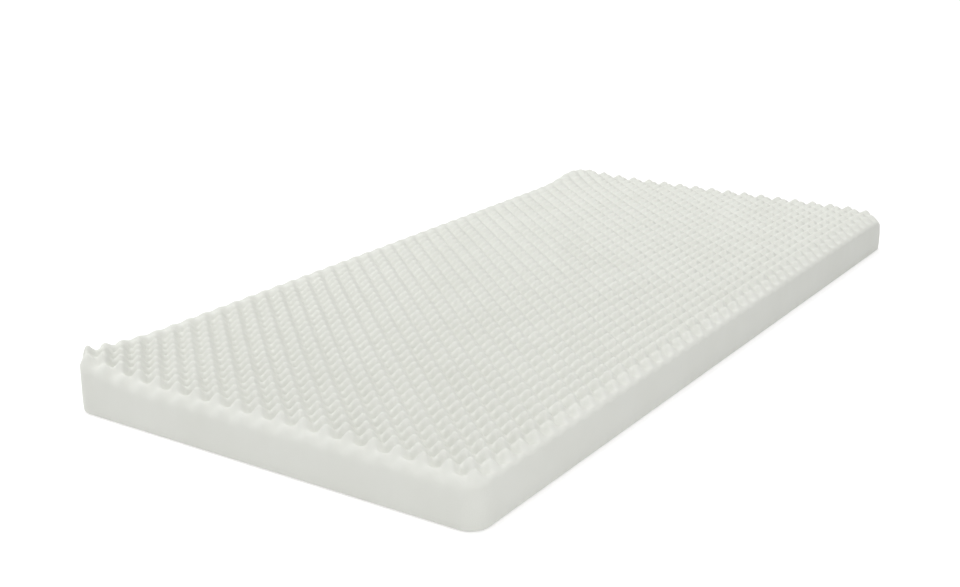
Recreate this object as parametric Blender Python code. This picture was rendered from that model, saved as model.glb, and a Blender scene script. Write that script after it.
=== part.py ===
"""Roll-up mattress: one foam slab with an egg-crate top, lying flat. Metres, +Z up.

The slab is one piece. Its top is a field of rounded peaks and dimples in staggered rows, which are cut
through at the two ends. The rim of each long side is plain, and the right-hand one slopes down to a low
edge. The sides are cut upright with rounded corners, and the underside is flat. The origin is at the
middle of the underside, the width runs along X and the length along Y.
"""

import math

import bmesh
import bpy

# The cut size of the slab.
WIDTH = 0.900
LENGTH = 1.900
PEAK_HEIGHT = 0.104

# The upright corners in plan and the softened bottom rim.
CORNER_RADIUS = 0.036
FOOT_ROUND = 0.004

# The top rim: how far in from the outline it starts, and how far it drops by there. The rims of the two
# long sides are plain and level, while the ends follow the peaks and dimples.
RIM_INSET = 0.006
RIM_DROP = 0.007
PLAIN_HEIGHT = 0.100
RIGHT_INSET = 0.018
RIGHT_DROP = 0.016

# The egg-crate: one step of this grid is half the distance between two peaks in a row.
STEPS_ACROSS = 37
STEPS_ALONG = 86
DIMPLE_DEPTH = 0.020

# What each corner has gained in height from being rolled, by its side along X and along Y.
CORNER_RISES = {(-1, -1): 0.017, (-1, 1): 0.013, (1, 1): -0.006}
RISE_REACH = 0.100

FOAM_COLOUR = (0.80, 0.82, 0.76, 1.0)
FOAM_ROUGHNESS = 0.95
SHADE_ANGLE = math.radians(30)


def clear_scene():
    """Remove every object, so that only the mattress is left."""
    for obj in list(bpy.data.objects):
        bpy.data.objects.remove(obj, do_unlink=True)


def grid_line(step, steps, size, low_inset, high_inset):
    """Place of one grid line across a side of this size, the two outermost lines moved in."""
    place = size * (step / steps - 0.5)
    return max(low_inset - size / 2, min(size / 2 - high_inset, place))


def round_corner(x, y, inset):
    """Move a point of the rectangle into the same rectangle with rounded corners.

    In each corner square, a side of which is the radius, the square is mapped onto a quarter disc.
    """
    radius = CORNER_RADIUS - inset
    centre_x = WIDTH / 2 - inset - radius
    centre_y = LENGTH / 2 - inset - radius
    across = (abs(x) - centre_x) / radius
    along = (abs(y) - centre_y) / radius
    if across <= 0 or along <= 0:
        return x, y
    disc_x = across * math.sqrt(1 - along**2 / 2)
    disc_y = along * math.sqrt(1 - across**2 / 2)
    rounded_x = math.copysign(centre_x + radius * disc_x, x)
    rounded_y = math.copysign(centre_y + radius * disc_y, y)
    return rounded_x, rounded_y


def corner_rise(x, y):
    """Height that a point of the top gains from the corners."""
    rise = 0.0
    for (side, end), height in CORNER_RISES.items():
        reach = math.hypot(x - side * WIDTH / 2, y - end * LENGTH / 2)
        rise += height * math.exp(-((reach / RISE_REACH) ** 2))
    return rise


def top_point(column, row):
    """One crossing of the grid: a peak where column and row differ in parity, or else a dimple.

    The first and last columns are the plain rims of the long sides.
    """
    x, y = round_corner(
        grid_line(column, STEPS_ACROSS, WIDTH, RIM_INSET, RIGHT_INSET),
        grid_line(row, STEPS_ALONG, LENGTH, RIM_INSET, RIM_INSET),
        RIM_INSET,
    )
    is_peak = (column + row) % 2 == 1
    height = PEAK_HEIGHT if is_peak else PEAK_HEIGHT - DIMPLE_DEPTH
    if column in (0, STEPS_ACROSS):
        height = PLAIN_HEIGHT
    return x, y, height + corner_rise(x, y)


def shoulder_height(column, row):
    """Height where the upright wall ends, which is lower along the right-hand side."""
    drop = RIGHT_DROP if column == STEPS_ACROSS else RIM_DROP
    return top_point(column, row)[2] - drop


def outline_steps():
    """Columns and rows of the grid's border, once around and anticlockwise from above."""
    near = [(column, 0) for column in range(STEPS_ACROSS)]
    right = [(STEPS_ACROSS, row) for row in range(STEPS_ALONG)]
    far = [(column, STEPS_ALONG) for column in range(STEPS_ACROSS, 0, -1)]
    left = [(0, row) for row in range(STEPS_ALONG, 0, -1)]
    return near + right + far + left


def add_top(mesh):
    """Add the egg-crate. Each square is folded along its line of dimples, so each peak has four faces."""
    verts = {
        (column, row): mesh.verts.new(top_point(column, row))
        for column in range(STEPS_ACROSS + 1)
        for row in range(STEPS_ALONG + 1)
    }
    for column in range(STEPS_ACROSS):
        for row in range(STEPS_ALONG):
            a = verts[column, row]
            b = verts[column + 1, row]
            c = verts[column + 1, row + 1]
            d = verts[column, row + 1]
            if (column + row) % 2 == 0:
                mesh.faces.new((a, b, c))
                mesh.faces.new((a, c, d))
            else:
                mesh.faces.new((a, b, d))
                mesh.faces.new((b, c, d))
    return [verts[step] for step in outline_steps()]


def add_ring(mesh, inset, height_of):
    """Add one ring of the side wall, at this inset. height_of gives its height at a column and row."""
    ring = []
    for column, row in outline_steps():
        x, y = round_corner(
            grid_line(column, STEPS_ACROSS, WIDTH, inset, inset),
            grid_line(row, STEPS_ALONG, LENGTH, inset, inset),
            inset,
        )
        ring.append(mesh.verts.new((x, y, height_of(column, row))))
    return ring


def add_band(mesh, upper, lower):
    """Join two rings with a band of faces that look outwards."""
    count = len(upper)
    for index in range(count):
        after = (index + 1) % count
        mesh.faces.new((upper[index], lower[index], lower[after], upper[after]))


def build_mattress():
    """Build the slab as one closed mesh: egg-crate, softened rim, upright wall, softened foot, underside."""
    mesh = bmesh.new()
    rim = add_top(mesh)
    shoulder = add_ring(mesh, 0.0, shoulder_height)
    ankle = add_ring(mesh, 0.0, lambda column, row: FOOT_ROUND)
    foot = add_ring(mesh, FOOT_ROUND, lambda column, row: 0.0)
    add_band(mesh, rim, shoulder)
    add_band(mesh, shoulder, ankle)
    add_band(mesh, ankle, foot)
    mesh.faces.new(list(reversed(foot)))
    data = bpy.data.meshes.new("mattress")
    mesh.to_mesh(data)
    mesh.free()
    data.shade_smooth()
    data.set_sharp_from_angle(angle=SHADE_ANGLE)
    return data


def foam_material():
    """Off-white foam, matt."""
    material = bpy.data.materials.new("foam")
    material.use_nodes = True
    surface = material.node_tree.nodes["Principled BSDF"]
    surface.inputs["Base Color"].default_value = FOAM_COLOUR
    surface.inputs["Roughness"].default_value = FOAM_ROUGHNESS
    surface.inputs["Metallic"].default_value = 0.0
    return material


def main():
    clear_scene()
    data = build_mattress()
    data.materials.append(foam_material())
    mattress = bpy.data.objects.new("mattress", data)
    bpy.context.scene.collection.objects.link(mattress)


main()
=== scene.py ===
"""Roll-up mattress: the looks of one slab of egg-crate foam that lies flat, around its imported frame.

The slab is one closed surface. Its top is a field of rounded peaks in staggered rows, which run out into a
worn slope at the near end, are cut through at the far end, and fade into plain rims along the two long
sides. Its sides are cut upright, with rounded corners, and its underside is flat.
Metres, +Z up. The width runs along X and the length along Y, with the origin under the middle.
"""

import logging
import math
from collections.abc import Iterable
from dataclasses import dataclass, field
from enum import Enum

import bpy
import numpy as np
from mathutils import Matrix, Vector
from numpy.typing import NDArray


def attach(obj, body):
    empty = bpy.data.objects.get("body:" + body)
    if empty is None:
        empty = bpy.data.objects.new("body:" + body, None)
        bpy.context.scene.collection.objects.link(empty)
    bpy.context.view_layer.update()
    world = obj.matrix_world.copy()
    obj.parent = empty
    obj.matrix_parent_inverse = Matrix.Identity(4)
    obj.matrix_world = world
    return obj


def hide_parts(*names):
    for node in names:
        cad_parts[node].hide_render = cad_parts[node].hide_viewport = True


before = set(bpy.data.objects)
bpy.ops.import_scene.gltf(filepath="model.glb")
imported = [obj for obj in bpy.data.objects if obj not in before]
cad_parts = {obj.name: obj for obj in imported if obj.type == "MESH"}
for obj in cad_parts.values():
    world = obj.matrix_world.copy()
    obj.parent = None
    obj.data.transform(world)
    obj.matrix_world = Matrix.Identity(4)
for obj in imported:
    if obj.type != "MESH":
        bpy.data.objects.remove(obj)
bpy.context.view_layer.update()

Array = NDArray[np.float64]
Colour = tuple[float, float, float]
Place = tuple[float, float, float]
Span = tuple[float, float]

LOG = logging.getLogger("mattress")
NODE = "mattress"
BODY = "root"
WHITE = (1.0, 1.0, 1.0, 1.0)
RIGHT_ANGLE = 90.0


class Corner(Enum):
    """The four upright corners of the slab, each as its side along X and along Y."""

    LEFT_NEAR = (-1, -1)
    RIGHT_NEAR = (1, -1)
    RIGHT_FAR = (1, 1)
    LEFT_FAR = (-1, 1)


class Side(Enum):
    """The two long sides and the two ends of the slab, each as its outward direction along X and Y."""

    LEFT = (-1, 0)
    RIGHT = (1, 0)
    NEAR = (0, -1)
    FAR = (0, 1)


def smooth_step(value: Array) -> Array:
    """Ease from 0 to 1 as the value goes from 0 to 1: three squares less two cubes.

    Args:
        value: any numbers; those outside 0 to 1 are held at the nearer end.

    Returns:
        The eased numbers.
    """
    held = np.clip(value, 0.0, 1.0)
    return held * held * (3.0 - 2.0 * held)


@dataclass(frozen=True)
class SlowWaves:
    """A seeded, gentle unevenness: a sum of long plane waves with drawn directions and phases."""

    seed: int
    height: float
    shortest: float
    longest: float
    count: int = 9

    def at(self, x: Array, y: Array) -> Array:
        """Sum the waves: each is a sine of the distance along its direction over its own length.

        Args:
            x: places across, in metres.
            y: places along, in metres.

        Returns:
            The unevenness in metres, about as large as the height.
        """
        draw = np.random.default_rng(self.seed)
        turn = draw.uniform(0.0, 2.0 * np.pi, self.count)
        phase = draw.uniform(0.0, 2.0 * np.pi, self.count)
        length = draw.uniform(self.shortest, self.longest, self.count)
        along = x[..., None] * np.cos(turn) + y[..., None] * np.sin(turn)
        waves = np.sin(2.0 * np.pi * along / length + phase)
        return self.height * waves.sum(-1) / math.sqrt(self.count)


@dataclass(frozen=True)
class Outline:
    """The slab's plan: a rectangle with rounded corners."""

    width: float
    length: float
    radius: float

    def place(self, across: Array, along: Array, inset: float | Array) -> tuple[Array, Array]:
        """Move points of the square -1 to 1 into the plan, drawn in by the inset.

        Inside each corner square, a side of which is the radius, the square is mapped onto a quarter
        disc: each coordinate is shortened by the root of one less half the other's square.

        Args:
            across: from -1 to 1, from the left side to the right.
            along: from -1 to 1, from the near end to the far.
            inset: how far inside the outline the square's border falls, one number or one a point.

        Returns:
            x and y in metres.
        """
        x, y = across * (self.width / 2), along * (self.length / 2)
        core_x, core_y = self.width / 2 - self.radius, self.length / 2 - self.radius
        part_x = np.clip((np.abs(x) - core_x) / self.radius, 0.0, 1.0)
        part_y = np.clip((np.abs(y) - core_y) / self.radius, 0.0, 1.0)
        radius = self.radius - inset
        reach_x = np.minimum(np.abs(x), core_x) + radius * part_x * np.sqrt(1.0 - part_y**2 / 2.0)
        reach_y = np.minimum(np.abs(y), core_y) + radius * part_y * np.sqrt(1.0 - part_x**2 / 2.0)
        return np.copysign(reach_x, x), np.copysign(reach_y, y)

    def endness(self, y: Array) -> Array:
        """Tell the ends from the long sides: 1 on an end, easing to 0 a corner radius away from it."""
        return smooth_step(1.0 - (self.length / 2 - np.abs(y)) / self.radius)


@dataclass(frozen=True)
class EggCrate:
    """The cut of the top: rounded peaks and dimples in staggered rows."""

    outline: Outline
    peak_height: float = 0.1035
    cells_across: float = 18.5
    cells_along: float = 43.33
    shift_across: float = 0.0040
    shift_along: float = 0.0045
    near_depth: float = 0.028
    far_depth: float = 0.018
    unevenness: SlowWaves = SlowWaves(seed=11, height=0.0006, shortest=0.07, longest=0.30)
    sag: SlowWaves = SlowWaves(seed=5, height=0.0008, shortest=0.5, longest=1.6, count=6)

    def wave_across(self, x: Array) -> Array:
        """Wave of the columns: a cosine across, one cell long, which is 1 on the columns of peaks."""
        cells = self.cells_across * ((x - self.shift_across) / self.outline.width - 0.5)
        return np.cos(2.0 * np.pi * cells)

    def wave_along(self, y: Array) -> Array:
        """Wave of the rows: a cosine along, one cell long, which is 1 on the rows of peaks."""
        cells = self.cells_along * ((y - self.shift_along) / self.outline.length + 0.5)
        return np.cos(2.0 * np.pi * cells)

    def height(self, x: Array, y: Array) -> Array:
        """Height of the cut: the peak height less the dimples, with a little slow unevenness.

        A dimple is half of one less the product of the two waves, times the depth there, which goes
        evenly from the near end's to the far end's.

        Args:
            x: places across, in metres.
            y: places along, in metres.

        Returns:
            z in metres.
        """
        dip = (1.0 - self.wave_across(x) * self.wave_along(y)) / 2.0
        part = y / self.outline.length + 0.5
        depth = self.near_depth + part * (self.far_depth - self.near_depth) + self.unevenness.at(x, y)
        return self.peak_height - depth * dip + self.sag.at(x, y)


@dataclass(frozen=True)
class Rim:
    """The band along one side or end, where the cut marks the foam less and the edge is worn down.

    The rim has its own height, and falls by the drop across the bevel's width. At the side only a share of
    the cut shows, and from the full width inwards all of it does.
    """

    side: Side
    height: float
    drop: float
    bevel: float
    full: float
    share: float
    bumpy_reach: float = 0.0

    def inward(self, outline: Outline, x: Array, y: Array) -> Array:
        """Distance in from this side of the slab, in metres."""
        across, along = self.side.value
        half = (abs(across) * outline.width + abs(along) * outline.length) / 2
        return half - across * x - along * y

    def cut_share(self, outline: Outline, x: Array, y: Array) -> Array:
        """Work out how much of the cut shows: a small share at the side, easing to all of it inside.

        The bumps may still run out to the side near the near end, by a bell curve of the distance.

        Args:
            outline: the slab's plan.
            x: places across, in metres.
            y: places along, in metres.

        Returns:
            From the share to 1.
        """
        ease = smooth_step(self.inward(outline, x, y) / self.full)
        if self.bumpy_reach > 0.0:
            from_end = y + outline.length / 2
            ease = np.maximum(ease, np.exp(-((from_end / self.bumpy_reach) ** 2)))
        return self.share + (1.0 - self.share) * ease

    def blend(self, outline: Outline, x: Array, y: Array, cut: Array) -> Array:
        """Ease the cut to the rim's own height, and let the rim fall away towards the side.

        The fall is the drop times one less the sine of a quarter turn, as the bevel is crossed inwards.

        Args:
            outline: the slab's plan.
            x: places across, in metres.
            y: places along, in metres.
            cut: height of the egg-crate there.

        Returns:
            z in metres.
        """
        crossed = np.clip(self.inward(outline, x, y) / self.bevel, 0.0, 1.0)
        fall = self.drop * (1.0 - np.sin(np.pi / 2.0 * crossed))
        return self.height + self.cut_share(outline, x, y) * (cut - self.height) - fall


@dataclass(frozen=True)
class SprungCorner:
    """A corner of the slab that stands a little high, or has settled a little, after being rolled."""

    corner: Corner
    rise: float
    reach: float
    stretch: float = 0.0
    inset: float = 0.0

    def bell(self, outline: Outline, x: Array, y: Array) -> Array:
        """Bell curve of the distance from its middle, which is on the long side, inset from the corner."""
        side_x, side_y = self.corner.value
        gap_x = x - side_x * outline.width / 2
        gap_y = y - side_y * (outline.length / 2 - self.inset)
        return np.exp(-(gap_x**2 + gap_y**2) / self.reach**2)

    def pull(self, outline: Outline, x: Array, y: Array) -> Array:
        """How far along Y the cut has been stretched inwards here: the stretch times the bell curve."""
        return -self.corner.value[1] * self.stretch * self.bell(outline, x, y)

    def lift(self, outline: Outline, x: Array, y: Array) -> Array:
        """Height gained here, in metres: the rise times the bell curve."""
        return self.rise * self.bell(outline, x, y)


@dataclass(frozen=True)
class FoamFinish:
    """Soft open-cell foam: off-white, matt and slightly fuzzy, with fine pores."""

    name: str = "mattress_foam"
    colour: Colour = (0.680, 0.688, 0.646)
    deep_colour: Colour = (0.660, 0.668, 0.623)
    tint_stops: Span = (0.35, 0.75)
    mottle_scale: float = 9.0
    mottle_detail: float = 4.0
    roughness: Span = (0.86, 0.97)
    pore_size: float = 0.0016
    pore_depth: float = 0.0004
    pore_strength: float = 0.5
    specular: float = 0.2
    sheen: float = 0.15
    sheen_roughness: float = 0.6

    def build(self) -> bpy.types.Material:
        """Make the node material: broad mottling tints and roughens the foam, and pores dent it.

        Returns:
            The foam material.
        """
        material = bpy.data.materials.new(self.name)
        material.use_nodes = True
        tree = material.node_tree
        surface = tree.nodes["Principled BSDF"]
        place = tree.nodes.new("ShaderNodeTexCoord").outputs["Object"]

        mottle = tree.nodes.new("ShaderNodeTexNoise")
        mottle.inputs["Scale"].default_value = self.mottle_scale
        mottle.inputs["Detail"].default_value = self.mottle_detail
        tree.links.new(place, mottle.inputs["Vector"])

        pores = tree.nodes.new("ShaderNodeTexVoronoi")
        pores.inputs["Scale"].default_value = 1.0 / self.pore_size
        tree.links.new(place, pores.inputs["Vector"])

        tint = tree.nodes.new("ShaderNodeValToRGB")
        colours = (self.colour, self.deep_colour)
        for stop, position, colour in zip(tint.color_ramp.elements, self.tint_stops, colours):
            stop.position = position
            stop.color = (*colour, 1.0)
        tree.links.new(mottle.outputs["Fac"], tint.inputs["Fac"])
        tree.links.new(tint.outputs["Color"], surface.inputs["Base Color"])

        rough = tree.nodes.new("ShaderNodeMapRange")
        rough.inputs["To Min"].default_value, rough.inputs["To Max"].default_value = self.roughness
        tree.links.new(mottle.outputs["Fac"], rough.inputs["Value"])
        tree.links.new(rough.outputs["Result"], surface.inputs["Roughness"])

        bump = tree.nodes.new("ShaderNodeBump")
        bump.inputs["Strength"].default_value = self.pore_strength
        bump.inputs["Distance"].default_value = self.pore_depth
        tree.links.new(pores.outputs["Distance"], bump.inputs["Height"])
        tree.links.new(bump.outputs["Normal"], surface.inputs["Normal"])

        surface.inputs["Specular IOR Level"].default_value = self.specular
        surface.inputs["Sheen Weight"].default_value = self.sheen
        surface.inputs["Sheen Roughness"].default_value = self.sheen_roughness
        return material


@dataclass
class FoamSlab:
    """The whole mattress: an egg-crate top, soft rim, upright sides, softened foot and flat underside."""

    name: str = "mattress_slab"
    width: float = 0.900
    length: float = 1.900
    corner_radius: float = 0.036
    steps_across: int = 37
    steps_along: int = 86
    splits: int = 5
    end_rim_radius: float = 0.014
    side_rim_radius: float = 0.006
    rim_rings: int = 5
    wall_rings: int = 5
    foot_radius: float = 0.005
    foot_rings: int = 3
    underside_inset: float = 0.010
    belly: float = 0.0012
    flute: float = 0.0008
    wall_waves: SlowWaves = SlowWaves(seed=23, height=0.0005, shortest=0.08, longest=0.30)
    rims: tuple[Rim, ...] = (
        Rim(Side.NEAR, height=0.0945, drop=0.018, bevel=0.034, full=0.034, share=0.14),
        Rim(Side.FAR, height=0.098, drop=0.003, bevel=0.012, full=0.020, share=0.80),
        Rim(Side.LEFT, height=0.100, drop=0.004, bevel=0.010, full=0.045, share=0.08, bumpy_reach=0.08),
        Rim(Side.RIGHT, height=0.098, drop=0.016, bevel=0.044, full=0.034, share=0.25),
    )
    corners: tuple[SprungCorner, ...] = (
        SprungCorner(Corner.LEFT_NEAR, rise=0.020, reach=0.105, stretch=0.011),
        SprungCorner(Corner.LEFT_FAR, rise=0.015, reach=0.085, inset=0.085),
        SprungCorner(Corner.RIGHT_FAR, rise=-0.010, reach=0.055),
    )
    finish: FoamFinish = FoamFinish()
    outline: Outline = field(init=False)
    crate: EggCrate = field(init=False)

    def __post_init__(self) -> None:
        """Draw the plan and the egg-crate from the slab's own sizes."""
        self.outline = Outline(self.width, self.length, self.corner_radius)
        self.crate = EggCrate(self.outline)

    def top_height(self, x: Array, y: Array) -> Array:
        """Height of the top before its edge is rounded: egg-crate, rims and sprung corners.

        Args:
            x: places across, in metres.
            y: places along, in metres.

        Returns:
            z in metres.
        """
        pull = sum(corner.pull(self.outline, x, y) for corner in self.corners)
        height = self.crate.height(x, y - pull)
        for rim in self.rims:
            height = rim.blend(self.outline, x, y, height)
        return height + sum(corner.lift(self.outline, x, y) for corner in self.corners)

    def rim_radius(self, along: Array) -> Array:
        """Radius of the rounded edge: the sides' own, easing to the ends' own around the corners.

        Args:
            along: from -1 to 1, from the near end to the far.

        Returns:
            The radius in metres.
        """
        endness = self.outline.endness(along * self.length / 2)
        return self.side_rim_radius + (self.end_rim_radius - self.side_rim_radius) * endness

    def square(self, splits: int) -> tuple[Array, Array]:
        """Lay the even grid of the top or the underside on the square -1 to 1.

        Args:
            splits: how many grid steps each half cell gets.

        Returns:
            The grid's places across and along, one row of the arrays for each line along.
        """
        across = np.linspace(-1.0, 1.0, self.steps_across * splits + 1)
        along = np.linspace(-1.0, 1.0, self.steps_along * splits + 1)
        return np.meshgrid(across, along)

    @staticmethod
    def border(grid: Array) -> Array:
        """Take a grid's border, once around from its first corner and anticlockwise from above.

        Args:
            grid: an array with one row for each line along.

        Returns:
            The values on the border, with no corner twice.
        """
        return np.concatenate([grid[0, :-1], grid[:-1, -1], grid[-1, :0:-1], grid[:0:-1, 0]])

    def top(self) -> Array:
        """Compute the points of the top, drawn in from the outline by the rim's radius.

        Returns:
            The points, as an array of grid rows.
        """
        across, along = self.square(self.splits)
        x, y = self.outline.place(across, along, self.rim_radius(along))
        return np.stack([x, y, self.top_height(x, y)], axis=-1)

    def ring(self, turn: float) -> Array:
        """Compute one ring of the rounded edge, where it has turned down by this angle.

        The edge is a quarter circle: it ends one less sine of the turn, times its radius, inside the
        outline, and one less cosine of the turn, times its radius, below the top.

        Args:
            turn: the angle in radians, from 0 on the top to a quarter turn on the wall.

        Returns:
            The ring's points, in the border's order.
        """
        across, along = (self.border(grid) for grid in self.square(self.splits))
        radius = self.rim_radius(along)
        x, y = self.outline.place(across, along, radius * (1.0 - math.sin(turn)))
        return np.stack([x, y, self.top_height(x, y) - radius * (1.0 - math.cos(turn))], axis=-1)

    def foot_ring(self, turn: float) -> Array:
        """Compute one ring of the rounded foot, a quarter circle that ends on the floor.

        Args:
            turn: the angle in radians, from 0 on the wall to a quarter turn on the floor.

        Returns:
            The ring's points, in the border's order.
        """
        across, along = (self.border(grid) for grid in self.square(self.splits))
        x, y = self.outline.place(across, along, self.foot_radius * (1.0 - math.cos(turn)))
        height = np.full_like(x, self.foot_radius * (1.0 - math.sin(turn)))
        return np.stack([x, y, height], axis=-1)

    def rings(self) -> list[Array]:
        """Compute the rings of the side: the rounded edge, the upright wall and the rounded foot.

        Returns:
            The rings' points, from the top down.
        """
        quarter = np.pi / 2
        rings = [self.ring(turn) for turn in np.linspace(0.0, quarter, self.rim_rings + 1)[1:]]
        shoulder, ankle = rings[-1], self.foot_ring(0.0)
        parts = np.linspace(0.0, 1.0, self.wall_rings + 1)[1:]
        rings += [shoulder + part * (ankle - shoulder) for part in parts]
        rings += [self.foot_ring(turn) for turn in np.linspace(0.0, quarter, self.foot_rings + 1)[1:]]
        return [ring + self.swell(ring) for ring in rings]

    def swell(self, ring: Array) -> Array:
        """Move the wall in and out a little.

        There is a low belly and a slow waviness, both a half sine of the height, and on the two ends
        flutes that follow the columns of peaks and grow with the square of the height.

        Args:
            ring: one ring of the side.

        Returns:
            How far each of its points moves.
        """
        edge = self.ring(np.pi / 2)
        outward = edge - self.foot_ring(np.pi / 2)
        outward[:, 2] = 0.0
        outward /= np.linalg.norm(outward, axis=1)[:, None]
        level = np.clip(ring[:, 2] / edge[:, 2], 0.0, 1.0)
        wave = self.wall_waves.at(ring[:, 0] + ring[:, 2], ring[:, 1] - ring[:, 2])
        flute = self.flute * self.outline.endness(ring[:, 1]) * self.crate.wave_across(ring[:, 0])
        move = (self.belly + wave) * np.sin(np.pi * level) + flute * level**2
        return outward * move[:, None]

    def shape(self) -> tuple[Array, list[tuple[int, ...]]]:
        """Join the top, the side's rings and the underside into one closed surface.

        Returns:
            The points, and the faces as tuples of point numbers.
        """
        top = self.top()
        rows, columns = top.shape[:2]
        number = np.arange(rows * columns).reshape(rows, columns)
        points, faces = [top.reshape(-1, 3)], [self.quads(number)]
        count, edge = rows * columns, self.border(number)
        for ring in self.rings():
            lower = count + np.arange(len(ring))
            faces.append(self.band(edge, lower))
            points.append(ring)
            count, edge = count + len(ring), lower
        base, base_number = self.underside(count)
        points.append(base)
        faces += [self.quads(base_number)[:, ::-1], self.collar(edge, self.border(base_number))]
        return np.concatenate(points), [tuple(face) for block in faces for face in block.tolist()]

    def underside(self, first: int) -> tuple[Array, Array]:
        """Compute the flat underside, a coarse grid a little inside the foot's last ring.

        Args:
            first: the number that its first point gets.

        Returns:
            The points, and their numbers as a grid.
        """
        x, y = self.outline.place(*self.square(1), self.underside_inset)
        points = np.stack([x, y, np.zeros_like(x)], axis=-1)
        return points.reshape(-1, 3), first + np.arange(x.size).reshape(x.shape)

    def collar(self, outer: Array, inner: Array) -> Array:
        """Join the foot's fine ring to the underside's coarse border with faces that look down.

        Each face has all the fine ring's points of one half cell and the border's two.

        Args:
            outer: the numbers of the foot's last ring.
            inner: the numbers of the underside's border.

        Returns:
            One row of numbers for each face.
        """
        starts = np.arange(len(inner)) * self.splits
        fine = outer[(starts[:, None] + np.arange(self.splits + 1)) % len(outer)]
        return np.column_stack([fine, np.roll(inner, -1), inner])[:, ::-1]

    @staticmethod
    def quads(number: Array) -> Array:
        """Join a grid of point numbers into four-sided faces that look up.

        Args:
            number: the numbers, one row for each line along.

        Returns:
            One row of four numbers for each face.
        """
        near, far = number[:-1], number[1:]
        corners = (near[:, :-1], near[:, 1:], far[:, 1:], far[:, :-1])
        return np.stack([corner.ravel() for corner in corners], axis=1)

    @staticmethod
    def band(upper: Array, lower: Array) -> Array:
        """Join two rings of point numbers with a band of faces that look outwards.

        Args:
            upper: the numbers of the upper ring, anticlockwise from above.
            lower: the numbers of the lower ring, in the same order.

        Returns:
            One row of four numbers for each face.
        """
        return np.stack([upper, lower, np.roll(lower, -1), np.roll(upper, -1)], axis=1)

    def build(self) -> bpy.types.Object:
        """Make the slab, give it its foam, and tie it to the frame.

        Returns:
            The finished piece.
        """
        points, faces = self.shape()
        mesh = bpy.data.meshes.new(self.name)
        mesh.from_pydata(points.tolist(), [], faces)
        mesh.update()
        mesh.shade_smooth()
        mesh.materials.append(self.finish.build())
        slab = bpy.data.objects.new(self.name, mesh)
        bpy.context.scene.collection.objects.link(slab)
        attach(slab, BODY)
        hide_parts(NODE)
        return slab


@dataclass(frozen=True)
class FloorFinish:
    """A plain pale studio floor, matt, with a painted glow: it gives off a little light of its own, more
    so away from the slab, which washes out the shade around the slab's foot.
    """

    name: str = "studio_floor"
    colour: Colour = (0.62, 0.62, 0.62)
    roughness: float = 1.0
    specular: float = 0.0
    painted_glow: Span = (0.42, 0.50)
    painted_glow_reach: Span = (1.3, 3.0)

    def build(self) -> bpy.types.Material:
        """Make the node material. The painted glow eases with the distance from the middle of the slab.

        Returns:
            The floor material.
        """
        material = bpy.data.materials.new(self.name)
        material.use_nodes = True
        tree = material.node_tree
        surface = tree.nodes["Principled BSDF"]
        surface.inputs["Base Color"].default_value = (*self.colour, 1.0)
        surface.inputs["Roughness"].default_value = self.roughness
        surface.inputs["Specular IOR Level"].default_value = self.specular
        surface.inputs["Emission Color"].default_value = WHITE
        place = tree.nodes.new("ShaderNodeTexCoord").outputs["Object"]
        distance = tree.nodes.new("ShaderNodeVectorMath")
        distance.operation = "LENGTH"
        tree.links.new(place, distance.inputs[0])
        # painted glow: emission on the floor, weaker near the slab, so that the shade the slab casts
        # around its foot is washed out
        painted_glow = tree.nodes.new("ShaderNodeMapRange")
        painted_glow.interpolation_type = "SMOOTHSTEP"
        painted_glow.inputs["From Min"].default_value, painted_glow.inputs["From Max"].default_value = self.painted_glow_reach
        painted_glow.inputs["To Min"].default_value, painted_glow.inputs["To Max"].default_value = self.painted_glow
        tree.links.new(distance.outputs["Value"], painted_glow.inputs["Value"])
        tree.links.new(painted_glow.outputs["Result"], surface.inputs["Emission Strength"])
        return material


@dataclass(frozen=True)
class SoftLight:
    """One large soft light, far enough away to fall evenly on the whole slab."""

    name: str
    azimuth: float
    elevation: float
    strength: float
    spread: float = 60.0

    def build(self) -> bpy.types.Object:
        """Hang the light. Its azimuth is counted from +X towards +Y.

        Returns:
            The light.
        """
        data = bpy.data.lights.new(self.name, "SUN")
        data.energy = math.pi * self.strength
        data.angle = math.radians(self.spread)
        light = bpy.data.objects.new(self.name, data)
        turn, tilt = math.radians(self.azimuth), math.radians(self.elevation)
        towards = Vector(
            (math.cos(turn) * math.cos(tilt), math.sin(turn) * math.cos(tilt), math.sin(tilt))
        )
        light.matrix_world = towards.to_track_quat("Z", "Y").to_matrix().to_4x4()
        bpy.context.scene.collection.objects.link(light)
        return light


@dataclass(frozen=True)
class PanelLight:
    """One round soft panel near the slab, which lights the part that it faces more than the rest."""

    name: str
    place: Place
    aim: Place
    size: float
    strength: float

    def build(self) -> bpy.types.Object:
        """Hang the panel. Its power makes a white surface at the aim as bright as its strength.

        Returns:
            The light.
        """
        away = Vector(self.place) - Vector(self.aim)
        data = bpy.data.lights.new(self.name, "AREA")
        data.shape = "DISK"
        data.size = self.size
        data.energy = self.strength * math.pi**2 * away.length_squared
        light = bpy.data.objects.new(self.name, data)
        turn = away.to_track_quat("Z", "Y").to_matrix().to_4x4()
        light.matrix_world = Matrix.Translation(self.place) @ turn
        bpy.context.scene.collection.objects.link(light)
        return light


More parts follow.
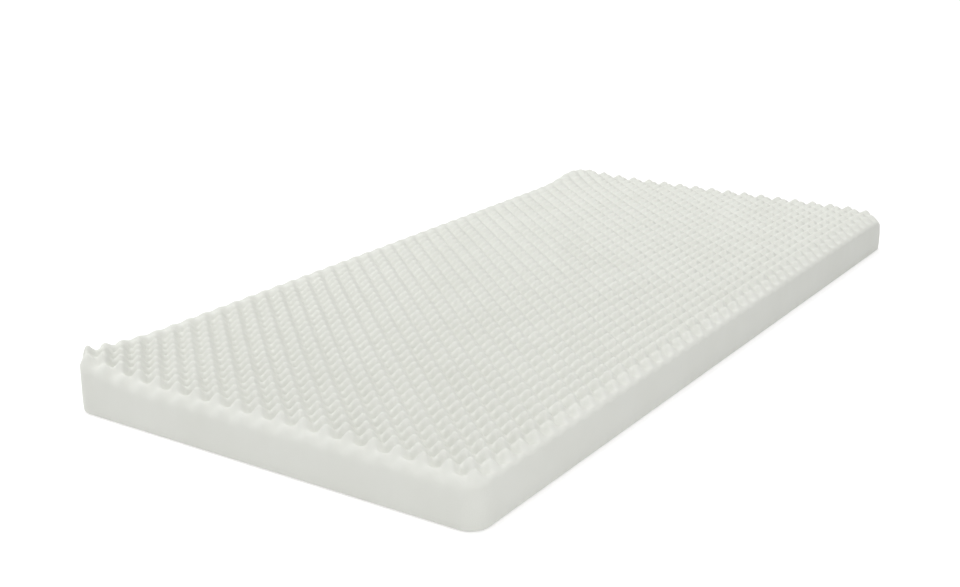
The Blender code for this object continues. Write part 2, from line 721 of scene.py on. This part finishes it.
@dataclass
class Studio:
    """The pale floor, the soft light all round and the camera."""

    floor_size: float = 60.0
    floor_gap: float = 0.0004
    sky_strength: float = 0.28
    lights: tuple[SoftLight | PanelLight, ...] = (
        SoftLight("overhead_light", azimuth=90.0, elevation=90.0, strength=0.66),
        SoftLight("front_light", azimuth=270.0, elevation=30.0, strength=0.11),
        PanelLight("side_panel", (2.2, -1.8, 0.7), (0.45, -0.95, 0.05), size=1.0, strength=0.21),
        PanelLight("left_panel", (-2.2, -1.2, 1.6), (0.0, 0.0, 0.0), size=1.6, strength=0.22),
        PanelLight("far_panel", (-0.2, 1.6, 2.2), (0.0, 0.3, 0.0), size=2.0, strength=0.10),
    )
    sensor_width: float = 36.0
    lens: float = 50.2
    camera_place: Place = (1.463, -2.444, 0.962)
    heading: float = 33.94
    look_down: float = 17.74
    roll: float = -0.376

    def build_floor(self) -> bpy.types.Object:
        """Lay the floor just under the slab.

        Returns:
            The floor.
        """
        half = self.floor_size / 2
        corners = [(-half, -half), (half, -half), (half, half), (-half, half)]
        mesh = bpy.data.meshes.new("floor")
        mesh.from_pydata([(x, y, -self.floor_gap) for x, y in corners], [], [(0, 1, 2, 3)])
        mesh.materials.append(FloorFinish().build())
        floor = bpy.data.objects.new("floor", mesh)
        bpy.context.scene.collection.objects.link(floor)
        return floor

    def build_sky(self) -> None:
        """Light the scene evenly from all round."""
        world = bpy.data.worlds.new("soft_sky")
        world.use_nodes = True
        background = world.node_tree.nodes["Background"]
        background.inputs["Color"].default_value = WHITE
        background.inputs["Strength"].default_value = self.sky_strength
        bpy.context.scene.world = world

    def build_camera(self) -> bpy.types.Object:
        """Set the camera about a metre above the floor, off the right near corner.

        Returns:
            The camera.
        """
        data = bpy.data.cameras.new("camera")
        data.sensor_width = self.sensor_width
        data.lens = self.lens
        camera = bpy.data.objects.new("camera", data)
        camera.matrix_world = (
            Matrix.Translation(self.camera_place)
            @ Matrix.Rotation(math.radians(self.heading), 4, "Z")
            @ Matrix.Rotation(math.radians(RIGHT_ANGLE - self.look_down), 4, "X")
            @ Matrix.Rotation(math.radians(self.roll), 4, "Z")
        )
        scene = bpy.context.scene
        scene.collection.objects.link(camera)
        scene.camera = camera
        return camera

    def build(self) -> None:
        """Make the floor, the lights and the camera, and keep colours as they are lit."""
        self.build_floor()
        self.build_sky()
        for light in self.lights:
            light.build()
        self.build_camera()
        bpy.context.scene.view_settings.view_transform = "Standard"


def main() -> None:
    """Build the studio and the slab."""
    logging.basicConfig(level=logging.INFO, format="%(name)s: %(message)s")
    Studio().build()
    slab = FoamSlab().build()
    LOG.info("%s: %d points, %d faces", slab.name, len(slab.data.vertices), len(slab.data.polygons))


if __name__ == "__main__":
    main()
